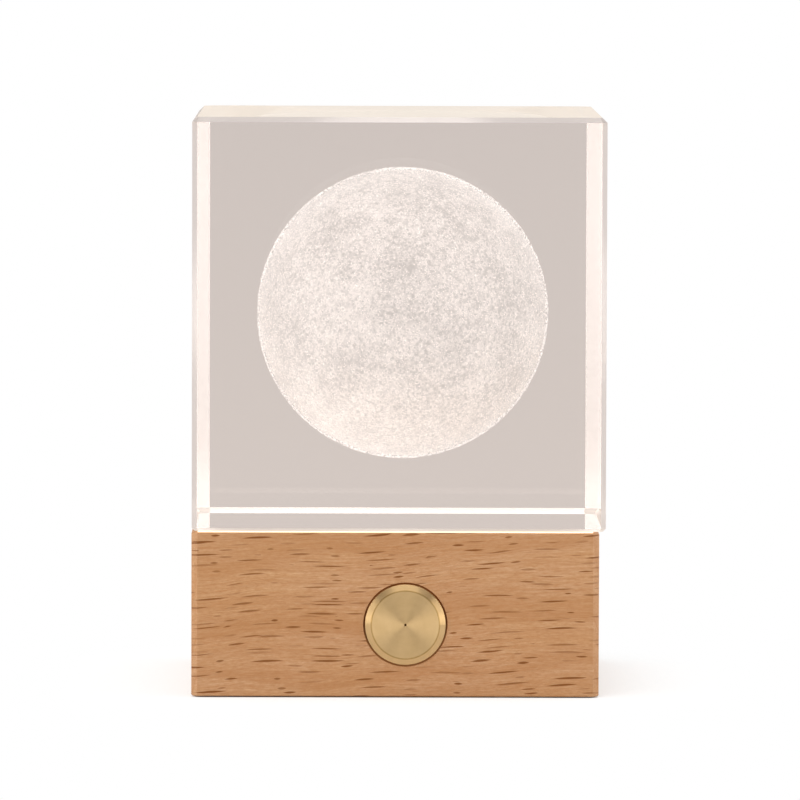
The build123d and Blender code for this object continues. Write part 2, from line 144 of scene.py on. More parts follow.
makeCamera(camera)
print("camera placed")


# Studio: white surroundings, a pale floor and soft boxes

studio = {
    "white": "#FFFFFF",
    "fillStrength": 0.48,
    "behind": "#F6ECE0",        # what metal and glass mirror of the far side of the room
    "behindReach": (0.2, 0.8),  # where that tone starts and where it is full, as sines
    "gap": (0.42, 0.18, 0.36),  # dim stretch below the ceiling lights, as sines: middle, core and reach
    "gapStrength": 0.15,
    "floorSide": 60.0,          # m
    "floorColour": "#FBFAF8",
    "contact": 14.0,            # mm round the object in which the floor darkens
}
softSun = {
    "fromAbove": 48.0,          # degrees, as the next two
    "fromLeft": 32.0,
    "width": 35.0,
    "strength": 0.93,           # irradiance
}
softBoxes = {
    # place, aim and size in mm
    "left": {"place": (-200, -5, 106), "aim": (0, -5, 106), "size": (110, 210), "radiance": 1.4},
    "right": {"place": (200, -5, 106), "aim": (0, -5, 106), "size": (110, 210), "radiance": 1.45},
    "left_front": {"place": (-200, -115, 81), "aim": (0, -115, 81), "size": (90, 160), "radiance": 2.6},
    "right_front": {"place": (200, -115, 81), "aim": (0, -115, 81), "size": (90, 160), "radiance": 2.8},
    "top": {"place": (0, 0, 800), "aim": (0, 0, 36), "size": (700, 900), "radiance": 1.42},
}


def shownToEye(tree):
    # 1 for rays that the eye sees straight, by reflection or through glass, and 0 for rays that light things
    path = addNode(tree, "LightPath")
    straight = addNode(tree, "Math", {
        0: path.outputs["Is Camera Ray"], 1: path.outputs["Is Glossy Ray"],
    }, operation="MAXIMUM")
    return addNode(tree, "Math", {0: straight, 1: path.outputs["Is Transmission Ray"]}, operation="MAXIMUM")


def makeWorld(look):
    # an even white room lights the object; metal and glass also mirror its dim stretches
    world = bpy.data.worlds.new("studio")
    world.use_nodes = True
    tree = world.node_tree
    tree.nodes.clear()
    way = addNode(tree, "SeparateXYZ", {0: addNode(tree, "TexCoord").outputs["Generated"]})
    middle, core, reach = look["gap"]
    fromGap = addNode(tree, "Math", {0: way.outputs["Z"], 1: middle}, operation="SUBTRACT")
    fromGap = addNode(tree, "Math", {0: fromGap}, operation="ABSOLUTE")
    strength = addNode(tree, "MapRange", {
        "Value": fromGap, "From Min": core, "From Max": reach, "To Min": look["gapStrength"], "To Max": 1.0,
    }, interpolation_type="SMOOTHSTEP")
    starts, full = look["behindReach"]
    behind = addNode(tree, "MapRange", {"Value": way.outputs["Y"], "From Min": starts, "From Max": full})
    wall = addNode(tree, "Mix", {"Factor": behind, "A": look["white"], "B": look["behind"]}, data_type="RGBA")
    lit = addNode(tree, "Background", {"Color": look["white"], "Strength": look["fillStrength"]})
    white = addNode(tree, "Background", {"Color": look["white"], "Strength": 1.0})
    mirrored = addNode(tree, "Background", {"Color": wall, "Strength": strength})
    # glass marks what goes through it as glossy too, so that part is taken off
    path = addNode(tree, "LightPath")
    reflected = addNode(tree, "Math", {
        0: path.outputs["Is Glossy Ray"], 1: path.outputs["Is Transmission Ray"],
    }, operation="SUBTRACT", use_clamp=True)
    seen = addNode(tree, "MixShader", {0: reflected, 1: white, 2: mirrored})
    both = addNode(tree, "MixShader", {0: shownToEye(tree), 1: lit, 2: seen})
    addNode(tree, "OutputWorld", {"Surface": both})
    bpy.context.scene.world = world


def makeFloor(look):
    # white paper that glows to the eye, except close to what stands on it, where its own shadow shows
    material, tree = newMaterial("studioPaper")
    paper = addNode(tree, "BsdfDiffuse", {"Color": look["floorColour"]})
    glow = addNode(tree, "Emission", {"Color": look["white"], "Strength": 1.0})
    clear = addNode(tree, "AmbientOcclusion", {"Distance": look["contact"] * mm}, samples=8).outputs["AO"]
    share = addNode(tree, "Math", {0: shownToEye(tree), 1: clear}, operation="MULTIPLY")
    both = addNode(tree, "MixShader", {0: share, 1: paper, 2: glow})
    addNode(tree, "OutputMaterial", {"Surface": both})
    half = look["floorSide"] / 2
    mesh = bpy.data.meshes.new("floor")
    corners = [(x * half, y * half, 0) for x, y in ((-1, -1), (1, -1), (1, 1), (-1, 1))]
    mesh.from_pydata(corners, [], [(0, 1, 2, 3)])
    floor = bpy.data.objects.new("floor", mesh)
    floor.data.materials.append(material)
    bpy.context.scene.collection.objects.link(floor)


def makeSoftBox(name, look):
    data = bpy.data.lights.new(name, "AREA")
    data.shape = "RECTANGLE"
    data.size, data.size_y = (side * mm for side in look["size"])
    data.energy = look["radiance"] * pi * data.size * data.size_y  # watts that give this radiance
    box = bpy.data.objects.new(name, data)
    box.location = Vector(look["place"]) * mm
    toAim = Vector(look["aim"]) * mm - box.location
    box.rotation_mode = "QUATERNION"
    box.rotation_quaternion = toAim.to_track_quat("-Z", "Y")
    bpy.context.scene.collection.objects.link(box)


def makeSoftSun(look):
    data = bpy.data.lights.new("soft_sun", "SUN")
    data.angle = radians(look["width"])
    data.energy = look["strength"]
    sun = bpy.data.objects.new("soft_sun", data)
    sun.visible_glossy = False  # glass and brass don't mirror it
    up, side = radians(look["fromAbove"]), radians(look["fromLeft"])
    towards = Vector((-sin(side) * cos(up), -cos(side) * cos(up), sin(up)))
    sun.rotation_mode = "QUATERNION"
    sun.rotation_quaternion = (-towards).to_track_quat("-Z", "Y")
    bpy.context.scene.collection.objects.link(sun)


# the crystal's faces mirror each other many times
bounces = {"max_bounces": 24, "transmission_bounces": 20, "glossy_bounces": 12, "transparent_max_bounces": 16}

makeWorld(studio)
makeFloor(studio)
makeSoftSun(softSun)
for boxName, boxLook in softBoxes.items():
    makeSoftBox(boxName, boxLook)
bpy.context.scene.view_settings.view_transform = "Standard"
for limitName, limit in bounces.items():
    setattr(bpy.context.scene.cycles, limitName, limit)
print("studio ready")


# Crystal: optical glass, ground and polished flat, with narrow bevels

crystal = {
    "ior": 1.517,
    # the lower of these two is paler: painted light from the lamps below
    "tintAndPaintedLight": ("#D2C6BF", "#CCC1BB"),  # what one pass through the block leaves of white light, low and high
    "bevel": 0.5,                    # mm
    "rearBevel": 1.3,                # mm, on the upright rear edges
    "footBevel": 0.3,                # mm, round the foot
    "bevelRoughness": 0.3,
    "footLight": (0.5, 0.2),         # mm that the film's light climbs the foot's bevel, and its strength
    "footColour": "#FFE6BE",
    "airGap": 0.02,                  # mm under the cube, so that its bottom face mirrors as a polished one
}


def crystalGlass(name, look, foot, top, roughness, footLight=None):
    # crown optical glass, cut and ground: clear, with a faint rose-grey colour that is deeper towards the
    # top; the paler glass low down is painted light from the lamps below
    material, tree = newMaterial(name)
    height = addNode(tree, "SeparateXYZ", {0: placeInMm(tree)}).outputs["Z"]
    # painted light: the glass is paler low down, as if lit by the lamps below
    highness = addNode(tree, "MapRange", {"Value": height, "From Min": foot / mm, "From Max": top / mm})
    tintAndPaintedLight = addNode(tree, "Mix", {
        "Factor": highness, "A": look["tintAndPaintedLight"][0], "B": look["tintAndPaintedLight"][1],
    }, data_type="RGBA")
    glow = 0.0
    if footLight:
        climb, strength = footLight
        glow = addNode(tree, "MapRange", {
            "Value": height, "From Min": foot / mm, "From Max": foot / mm + climb,
            "To Min": strength, "To Max": 0.0,
        })
    glass = addNode(tree, "BsdfPrincipled", {
        "Base Color": tintAndPaintedLight,
        "Roughness": roughness,
        "IOR": look["ior"],
        "Transmission Weight": 1.0,
        "Emission Color": look["footColour"],
        "Emission Strength": glow,
    })
    # shadow rays pass, so that the moon inside and the wood below get the studio's light
    clear = addNode(tree, "BsdfTransparent")
    shadow = addNode(tree, "LightPath").outputs["Is Shadow Ray"]
    surface = addNode(tree, "MixShader", {0: shadow, 1: glass, 2: clear})
    addNode(tree, "OutputMaterial", {"Surface": surface})
    return material


def bevelledBlock(low, high, look):
    # hull of the outlines that the bevels leave at the foot, above it, below the top and at the top
    middle, half = (low + high) / 2, (high - low) / 2
    shape = bmesh.new()
    for z, inset in (
        (low.z, look["footBevel"] * mm), (low.z + look["footBevel"] * mm, 0.0),
        (high.z - look["bevel"] * mm, 0.0), (high.z, look["bevel"] * mm),
    ):
        for xSign, ySign in ((-1, -1), (1, -1), (1, 1), (-1, 1)):
            cut = (look["rearBevel"] if ySign > 0 else look["bevel"]) * mm - inset * (2 - sqrt(2))
            for xCut, yCut in ((cut, 0.0), (0.0, cut)):
                shape.verts.new((
                    middle.x + xSign * (half.x - inset - xCut),
                    middle.y + ySign * (half.y - inset - yCut),
                    z,
                ))
    bmesh.ops.convex_hull(shape, input=shape.verts)
    bmesh.ops.dissolve_limit(shape, angle_limit=radians(0.5), verts=shape.verts, edges=shape.edges)
    bmesh.ops.recalc_face_normals(shape, faces=shape.faces)
    mesh = bpy.data.meshes.new("crystal_block")
    shape.to_mesh(mesh)
    shape.free()
    return mesh


crystalLow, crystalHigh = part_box("crystal_cube")
crystalLow.z += crystal["airGap"] * mm
crystalMesh = bevelledBlock(crystalLow, crystalHigh, crystal)
# the faces are polished clear; the narrow bevels are left a little softer
facesGlass = crystalGlass("polishedCrystalGlass", crystal, crystalLow.z, crystalHigh.z, 0.0)
bevelsGlass = crystalGlass(
    "groundCrystalBevels", crystal, crystalLow.z, crystalHigh.z,
    crystal["bevelRoughness"], crystal["footLight"],
)
crystalBlock = newPiece("crystal_block", crystalMesh, facesGlass, ["crystal_cube"])
crystalBlock.data.materials.append(bevelsGlass)
for face in crystalBlock.data.polygons:
    face.material_index = 0 if max(abs(share) for share in face.normal) > 0.99 else 1
print("crystal cut:", len(crystalMesh.polygons), "faces")


# Moon: a ball of laser-made fractures, a frosted ground with bright separate points over it

moon = {
    "seed": 11,
    "cells": 110,                          # along each side of the six square patches that make the ball
    # radius in mm, depth as a share of it, rim as a share of the depth; more crowd makes more of them small
    "craters": {"count": 90, "radius": (0.40, 1.15), "depth": 0.014, "rim": 1.1, "crowd": 1.8},
    "pits": {"count": 9000, "radius": (0.16, 0.32), "depth": 0.10, "rim": 0.5, "crowd": 1.5},
    "fineRelief": 0.004,                   # mm
    "reliefRange": 0.05,                   # mm of relief between dull and bright
    "middleTone": 0.55,
    "seas": (1.7, 0.26, (3.1, 7.7, 1.9)),  # how often they come, their strength, and where the noise starts
    "patches": (6.0, 0.22, (9.2, 0.4, 5.5)),
    "toneRange": (0.15, 1.15),             # what shows as fully dull and as fully bright
    "grain": (0.3, 0.50),                  # mm, and its strength
    "rings": ((0.5, 0.70), (0.9, 0.30)),   # mm between small ring-shaped marks, and their strength
    "ringRise": (0.15, 0.34),              # shares of that spacing over which a rim rises
    "ringFall": (0.38, 0.60, 0.3),         # and falls again, and what is left of it outside
    "curl": (2.5, 0.4),                    # bends of the rings to the mm, and their reach in mm
    "bright": "#A9A4A0",
    "dull": "#7F7975",
    "roughness": 0.45,
    "glow": (0.50, 0.70),                  # light that the fractures send out, where dull and where bright
    "glowColour": "#FFFDFC",
    "lit": (-0.42, 0.0, -0.91),            # the side nearest to the brightest lamps
    "lowGlow": (0.34, 4.0),                # more light on that side, and how steeply it rises
    "fractures": 48000,
    "fractureChance": (0.35, 0.9),         # where dullest, and how much more where brightest
    "fractureSize": (0.03, 0.06),          # mm
    "fractureLayer": 0.22,                 # mm thick
    "fractureFill": 0.8,                   # share of the layer in which they lie
    "fractureGlow": (0.875, 1.5),          # weakest and strongest
}


def ballOfPatches(name, cells):
    # unit ball from six square grids, evenly spaced by angle
    steps = np.tan(np.linspace(-pi / 4, pi / 4, cells + 1))
    shape = bmesh.new()
    for axis in range(3):
        for sign in (-1, 1):
            rows = []
            for u in steps:
                row = []
                for v in steps:
                    point = Vector((0, 0, 0))
                    point[axis], point[(axis + 1) % 3], point[(axis + 2) % 3] = sign, sign * u, v
                    row.append(shape.verts.new(point.normalized()))
                rows.append(row)
            for upper, lower in zip(rows, rows[1:]):
                for corner in range(cells):
                    shape.faces.new((upper[corner], lower[corner], lower[corner + 1], upper[corner + 1]))
    bmesh.ops.remove_doubles(shape, verts=shape.verts, dist=1e-5)
    bmesh.ops.recalc_face_normals(shape, faces=shape.faces)
    mesh = bpy.data.meshes.new(name)
    shape.to_mesh(mesh)
    shape.free()
    return mesh


def groundTone(direction, look):
    # 0 to 1: how densely the laser marked this part of the ball
    wide, wideShare, wideStart = look["seas"]
    near, nearShare, nearStart = look["patches"]
    tone = wideShare * noise.fractal(direction * wide + Vector(wideStart), 1.0, 2.0, 3)
    tone += nearShare * noise.fractal(direction * near + Vector(nearStart), 0.8, 2.0, 3)
    return look["middleTone"] + tone


def crateredBall(centre, radius, look):
    # the ball, sunk by craters and pits whose rims stand up, with its tone as an attribute
    mesh = ballOfPatches("moon_ground", look["cells"])
    count = len(mesh.vertices)
    directions = np.empty(count * 3)
    mesh.vertices.foreach_get("co", directions)
    directions = directions.reshape(-1, 3)
    tree = kdtree.KDTree(count)
    for index, direction in enumerate(directions):
        tree.insert(direction, index)
    tree.balance()
    chance = np.random.default_rng(look["seed"])
    relief = np.zeros(count)
    for marks in (look["craters"], look["pits"]):
        smallest, largest = (size * mm / radius for size in marks["radius"])
        for mark in range(marks["count"]):
            size = smallest * (largest / smallest) ** (chance.random() ** marks["crowd"])
            aim = chance.normal(size=3)
            found = tree.find_range(aim / np.linalg.norm(aim), 1.6 * size)
            near = np.array([item[1] for item in found])
            away = np.array([item[2] for item in found]) / size
            bowl = np.where(away < 1, away ** 2 - 1, 0.0)
            rim = marks["rim"] * np.exp(-((away - 1.05) / 0.25) ** 2)
            relief[near] += (bowl + rim) * size * marks["depth"]
    relief += chance.normal(size=count) * look["fineRelief"] * mm / radius
    ground = np.array([groundTone(Vector(direction), look) for direction in directions])
    tone = mesh.attributes.new("tone", "FLOAT", "POINT")
    tone.data.foreach_set("value", ground + 0.5 * relief * radius / mm / look["reliefRange"])
    relief -= relief.max() + look["fractureLayer"] * mm / radius
    mesh.vertices.foreach_set("co", (directions * (1 + relief)[:, None] * radius + np.array(centre)).ravel())
    mesh.update()
    mesh.shade_smooth()
    return mesh


def fracturePoints(centre, radius, look):
    # separate four-sided splinters in a thin layer over the ground, closer together where it is bright
    chance = np.random.default_rng(look["seed"] + 1)
    least, more = look["fractureChance"]
    aims = []
    while len(aims) < look["fractures"]:
        aim = Vector(chance.normal(size=3)).normalized()
        if chance.random() < least + more * groundTone(aim, look) ** 2:
            aims.append(aim)
    count = len(aims)
    sunk = chance.random((count, 1)) * look["fractureLayer"] * mm * look["fractureFill"]
    middles = np.array(aims) * (radius - sunk)
    low, high = (size * mm for size in look["fractureSize"])
    sizes = low * (high / low) ** chance.random((count, 1))
    first = chance.normal(size=(count, 3))
    first /= np.linalg.norm(first, axis=1)[:, None]
    second = np.cross(first, chance.normal(size=(count, 3)))
    second /= np.linalg.norm(second, axis=1)[:, None]
    third = np.cross(first, second)
    corners = [
        middles + (s1 * first + s2 * second + s3 * third) * sizes / sqrt(3)
        for s1, s2, s3 in ((1, 1, 1), (1, -1, -1), (-1, 1, -1), (-1, -1, 1))
    ]
    points = np.stack(corners, axis=1).reshape(-1, 3) + np.array(centre)
    faces = np.array(((0, 2, 1), (0, 1, 3), (0, 3, 2), (1, 2, 3)))
    faces = (faces[None] + 4 * np.arange(count)[:, None, None]).reshape(-1, 3)
    mesh = bpy.data.meshes.new("moon_fractures")
    mesh.from_pydata(points.tolist(), [], faces.tolist())
    mesh.update()
    mesh.shade_smooth()
    return mesh


def frostedGround(look, centre, radius):
    # glass broken by the laser into fine points: soft and white, shining at its edge and close to the lamps
    material, tree = newMaterial("laserFrostedGlass")
    place = placeInMm(tree)
    tone = addNode(tree, "Attribute", attribute_name="tone").outputs["Fac"]
    grainSize, grainShare = look["grain"]
    grain = patches(tree, place, (grainSize,) * 3, detail=1.0)
    centred = addNode(tree, "Math", {0: grain, 1: 0.4}, operation="SUBTRACT")
    tone = addNode(tree, "Math", {0: centred, 1: grainShare, 2: tone}, operation="MULTIPLY_ADD")
    # small crowded craters, each a pale curled rim round a darker middle
    bends, reach = look["curl"]
    curl = addNode(tree, "TexNoise", {"Vector": place, "Scale": bends, "Detail": 1.0}).outputs["Color"]
    curled = addNode(tree, "VectorMath", {0: curl, 1: (reach,) * 3, 2: place}, operation="MULTIPLY_ADD")
    riseStart, riseEnd = look["ringRise"]
    fallStart, fallEnd, outside = look["ringFall"]
    for spacing, share in look["rings"]:
        cell = addNode(tree, "VectorMath", {0: curled, 1: (spacing,) * 3}, operation="DIVIDE")
        away = addNode(tree, "TexVoronoi", {"Vector": cell, "Scale": 1.0}).outputs["Distance"]
        risen = addNode(tree, "MapRange", {"Value": away, "From Min": riseStart, "From Max": riseEnd})
        fallen = addNode(tree, "MapRange", {
            "Value": away, "From Min": fallStart, "From Max": fallEnd, "To Min": 1.0, "To Max": outside,
        })
        ring = addNode(tree, "Math", {0: risen, 1: fallen}, operation="MULTIPLY")
        ring = addNode(tree, "Math", {0: ring, 1: 0.5}, operation="SUBTRACT")
        tone = addNode(tree, "Math", {0: ring, 1: share, 2: tone}, operation="MULTIPLY_ADD")
    dullest, brightest = look["toneRange"]
    tone = addNode(tree, "MapRange", {"Value": tone, "From Min": dullest, "From Max": brightest})
    colour = addNode(tree, "Mix", {"Factor": tone, "A": look["dull"], "B": look["bright"]}, data_type="RGBA")
    # more light on the side of the lamps
    outward = addNode(tree, "VectorMath", {0: place, 1: tuple(centre / mm)}, operation="SUBTRACT")
    along = addNode(tree, "VectorMath", {0: outward, 1: look["lit"]}, operation="DOT_PRODUCT")
    lowness = addNode(tree, "MapRange", {
        "Value": along.outputs["Value"], "From Min": -radius / mm, "From Max": radius / mm,
    })
    lowShare, steepness = look["lowGlow"]
    lowness = addNode(tree, "Math", {0: lowness, 1: steepness}, operation="POWER")
    glow = addNode(tree, "MapRange", {"Value": tone, "To Min": look["glow"][0], "To Max": look["glow"][1]})
    glow = addNode(tree, "Math", {0: lowness, 1: lowShare, 2: glow}, operation="MULTIPLY_ADD")
    shader = addNode(tree, "BsdfPrincipled", {
        "Base Color": colour,
        "Roughness": look["roughness"],
        "Specular IOR Level": 0.6,
        "Sheen Weight": 1.0,
        "Sheen Roughness": 0.45,
        "Emission Color": look["glowColour"],
        "Emission Strength": glow,
        "Normal": addNode(tree, "Bump", {"Height": grain, "Distance": 0.03 * mm}),
    })
    addNode(tree, "OutputMaterial", {"Surface": shader})
    return material


def brightFractures(look):
    # single breaks that catch the light from below: near white and a little warm, uneven in strength
    material, tree = newMaterial("litGlassFractures")
    uneven = patches(tree, placeInMm(tree), (0.5, 0.5, 0.5), detail=2.0)
    weakest, strongest = look["fractureGlow"]
    strength = addNode(tree, "MapRange", {"Value": uneven, "To Min": weakest, "To Max": strongest})
    shader = addNode(tree, "BsdfPrincipled", {
        "Base Color": look["bright"],
        "Roughness": 0.6,
        "Specular IOR Level": 0.3,
        "Emission Color": look["glowColour"],
        "Emission Strength": strength,
    })
    addNode(tree, "OutputMaterial", {"Surface": shader})
    return material


moonLow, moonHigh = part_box("engraved_moon")
moonCentre = (moonLow + moonHigh) / 2
moonRadius = (moonHigh.x - moonLow.x) / 2
newPiece(
    "moon_ground", crateredBall(moonCentre, moonRadius, moon),
    frostedGround(moon, moonCentre, moonRadius), ["engraved_moon"],
)
newPiece(
    "moon_fractures", fracturePoints(moonCentre, moonRadius, moon),
    brightFractures(moon), ["engraved_moon"],
)
print("moon engraved")


# Beech block: sawn along the grain, sanded and oiled

beech = {
    "tan": "#CAA177",
    "rose": "#CDA783",
    "late": "#A67142",
    "ray": "#794512",
    "tilt": 3.0,                          # degrees that the grain climbs to the right
    "wander": (11.0, 16.0, 6.0),          # mm between bends of the grain
    "wanderReach": (0.0, 1.0, 1.3),       # mm
    "raySpacing": (5.8, 24.0, 0.68),      # mm between rays along the grain, into the block and upwards
    "rayHalfLength": (0.06, 0.34),        # shares of the spacing along the grain
    "rayHalfHeight": (0.10, 0.19),        # shares of the spacing upwards
    "rayEdge": (0.5, 1.1),                # shares of a ray's half size over which it fades
    "rayFaintest": 0.25,
    "ringSpacing": 1.25,                  # mm
    "lateWood": (0.5, 0.93, 0.4),         # where in a ring it starts and is darkest, and how dark it is there
    "pith": (85.0, 30.0),                 # where the tree's middle was, mm behind and above
    "cloud": (18.0, 14.0, 3.0),           # mm
    "band": (46.0, 30.0, 1.5),            # mm
    "streak": (14.0, 1.2, 0.32),          # mm
    "fibre": (2.6, 0.10, 0.10),           # mm
    "pore": (0.6, 0.2, 0.2),              # mm
    # how much of the late wood's colour the bands, streaks, fibres, pores and rings bring
    "shares": (0.32, 0.40, 0.58, 0.56, 1.0),
    "roughness": (0.46, 0.60),
    "holeRadius": 4.15,                   # mm, of the button's hole
    "leak": 0.15,                         # light that gets out round the button
    "leakColour": "#EBA868",
    "leakDepth": (2.0, 1.98),             # mm into the hole: its middle, and half its length
}


def oiledBeech(look, button, front):
    # European beech, sanded and oiled: satin, short dark ray flecks on the sides, lines on the end grain
    material, tree = newMaterial("oiledBeech")
    straight = placeInMm(tree)
    tilted = addNode(tree, "VectorRotate", {
        "Vector": straight, "Angle": radians(look["tilt"]),
    }, rotation_type="Y_AXIS")
    # the grain wanders a little, into the block and upwards
    spot = addNode(tree, "VectorMath", {0: tilted, 1: look["wander"]}, operation="DIVIDE")
    wander = addNode(tree, "TexNoise", {"Vector": spot, "Scale": 1.0, "Detail": 1.0}).outputs["Color"]
    wander = addNode(tree, "VectorMath", {0: wander, 1: (0.5, 0.5, 0.5)}, operation="SUBTRACT")
    place = addNode(tree, "VectorMath", {
        0: wander, 1: look["wanderReach"], 2: tilted,
    }, operation="MULTIPLY_ADD")
    # rays, as flat ribbons that run into the block
    cellPlace = addNode(tree, "VectorMath", {0: place, 1: look["raySpacing"]}, operation="DIVIDE")
    cells = addNode(tree, "TexVoronoi", {"Vector": cellPlace, "Scale": 1.0})
    away = addNode(tree, "VectorMath", {0: cellPlace, 1: cells.outputs["Position"]}, operation="SUBTRACT")
    chance = addNode(tree, "SeparateColor", {0: cells.outputs["Color"]})
    length = addNode(tree, "MapRange", {
        "Value": chance.outputs[0], "To Min": look["rayHalfLength"][0], "To Max": look["rayHalfLength"][1],
    })
    thickness = addNode(tree, "MapRange", {
        "Value": chance.outputs[1], "To Min": look["rayHalfHeight"][0], "To Max": look["rayHalfHeight"][1],
    })
    raySize = addNode(tree, "CombineXYZ", {"X": length, "Y": 1.0, "Z": thickness})
    away = addNode(tree, "VectorMath", {0: away, 1: raySize}, operation="DIVIDE")
    away = addNode(tree, "SeparateXYZ", {0: addNode(tree, "VectorMath", {0: away}, operation="ABSOLUTE")})
    alongRay = addNode(tree, "Math", {0: away.outputs["X"], 1: 2.0}, operation="POWER")
    fromRay = addNode(tree, "Math", {0: alongRay, 1: away.outputs["Z"]}, operation="ADD")
    fadeStart, fadeEnd = look["rayEdge"]
    rayShape = addNode(tree, "MapRange", {
        "Value": fromRay, "From Min": fadeStart, "From Max": fadeEnd, "To Min": 1.0, "To Max": 0.0,
    }, interpolation_type="SMOOTHSTEP")
    rayDark = addNode(tree, "MapRange", {
        "Value": chance.outputs[2], "From Max": 0.7, "To Min": look["rayFaintest"], "To Max": 1.0,
    })
    rays = addNode(tree, "Math", {0: rayShape, 1: rayDark}, operation="MULTIPLY")
    # growth rings round the pith, whose late wood is darker
    fromPith = addNode(tree, "VectorMath", {0: place, 1: (0.0, *look["pith"])}, operation="SUBTRACT")
    fromPith = addNode(tree, "VectorMath", {0: fromPith, 1: (0.0, 1.0, 1.0)}, operation="MULTIPLY")
    fromPith = addNode(tree, "VectorMath", {0: fromPith}, operation="LENGTH")
    year = addNode(tree, "Math", {0: fromPith, 1: look["ringSpacing"]}, operation="DIVIDE")
    year = addNode(tree, "Math", {0: year}, operation="FRACT")
    starts, darkest, darkness = look["lateWood"]
    late = addNode(tree, "MapRange", {
        "Value": year, "From Min": starts, "From Max": darkest,
    }, interpolation_type="SMOOTHSTEP")
    ended = addNode(tree, "MapRange", {
        "Value": year, "From Min": darkest, "From Max": 1.0, "To Min": darkness, "To Max": 0.0,
    })
    late = addNode(tree, "Math", {0: late, 1: ended}, operation="MULTIPLY")
    # colour, from the broadest differences to the finest
    clouds = patches(tree, place, look["cloud"], contrast=0.15)
    colour = addNode(tree, "Mix", {"Factor": clouds, "A": look["tan"], "B": look["rose"]}, data_type="RGBA")
    bands = patches(tree, place, look["band"], detail=2.0, contrast=0.14)
    streaks = patches(tree, place, look["streak"])
    fibres = patches(tree, place, look["fibre"])
    pores = patches(tree, place, look["pore"], detail=2.0)
    for pattern, share in zip((bands, streaks, fibres, pores, late), look["shares"]):
        amount = addNode(tree, "Math", {0: pattern, 1: share}, operation="MULTIPLY")
        colour = addNode(tree, "Mix", {"Factor": amount, "A": colour, "B": look["late"]}, data_type="RGBA")
    colour = addNode(tree, "Mix", {"Factor": rays, "A": colour, "B": look["ray"]}, data_type="RGBA")
    # a little of the lamps' light gets out round the button and shows on the wall of its hole
    axis = (button.x / mm, 0.0, button.z / mm)
    fromAxis = addNode(tree, "VectorMath", {0: straight, 1: axis}, operation="SUBTRACT")
    fromAxis = addNode(tree, "VectorMath", {0: fromAxis, 1: (1.0, 0.0, 1.0)}, operation="MULTIPLY")
    fromAxis = addNode(tree, "VectorMath", {0: fromAxis}, operation="LENGTH")
    onWall = addNode(tree, "Math", {0: fromAxis, 1: look["holeRadius"] + 0.03}, operation="LESS_THAN")
    depth = addNode(tree, "SeparateXYZ", {0: straight}).outputs["Y"]
    middle, half = look["leakDepth"]
    inside = addNode(tree, "Math", {0: depth, 1: front / mm + middle, 2: half}, operation="COMPARE")
    leak = addNode(tree, "Math", {0: onWall, 1: inside}, operation="MULTIPLY")
    leak = addNode(tree, "Math", {0: leak, 1: look["leak"]}, operation="MULTIPLY")
    relief = addNode(tree, "Math", {0: rays, 1: -0.5, 2: fibres}, operation="MULTIPLY_ADD")
    smoothest, roughest = look["roughness"]
    shader = addNode(tree, "BsdfPrincipled", {
        "Base Color": colour,
        "Roughness": addNode(tree, "MapRange", {"Value": fibres, "To Min": smoothest, "To Max": roughest}),
        "IOR": 1.5,
        "Specular IOR Level": 0.35,
        "Emission Color": look["leakColour"],
        "Emission Strength": leak,
        "Normal": addNode(tree, "Bump", {"Height": relief, "Distance": 0.015 * mm}),
    })
    addNode(tree, "OutputMaterial", {"Surface": shader})
    return material


buttonLow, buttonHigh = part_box("brass_button")
buttonMiddle = (buttonLow + buttonHigh) / 2
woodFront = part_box("wood_base")[0].y
dress(oiledBeech(beech, buttonMiddle, woodFront), "wood_base")
print("beech oiled")


# Brass button: turned, its face left with the fine rings of the tool

brass = {
    "colour": "#E1BE8A",
    "tarnish": "#B08A4E",
    "wear": (1.2, 0.18),        # mm, and how much tarnish it leaves
    "groove": 0.16,             # mm between rings, as coarse as they need to show
    "grooveDepth": 0.004,       # mm
    "dome": 1.5,                # degrees that the face falls away to its edge
    "roughness": (0.36, 0.45),
    "anisotropy": 0.95,
    "faceRadius": 3.35,         # mm
    "edge": (0.03, 0.10, 0.7),  # mm to each side of it over which the tarnish fades, and how much there is
    "markRadius": 0.12,         # mm
    "markColour": "#4E3416",
}


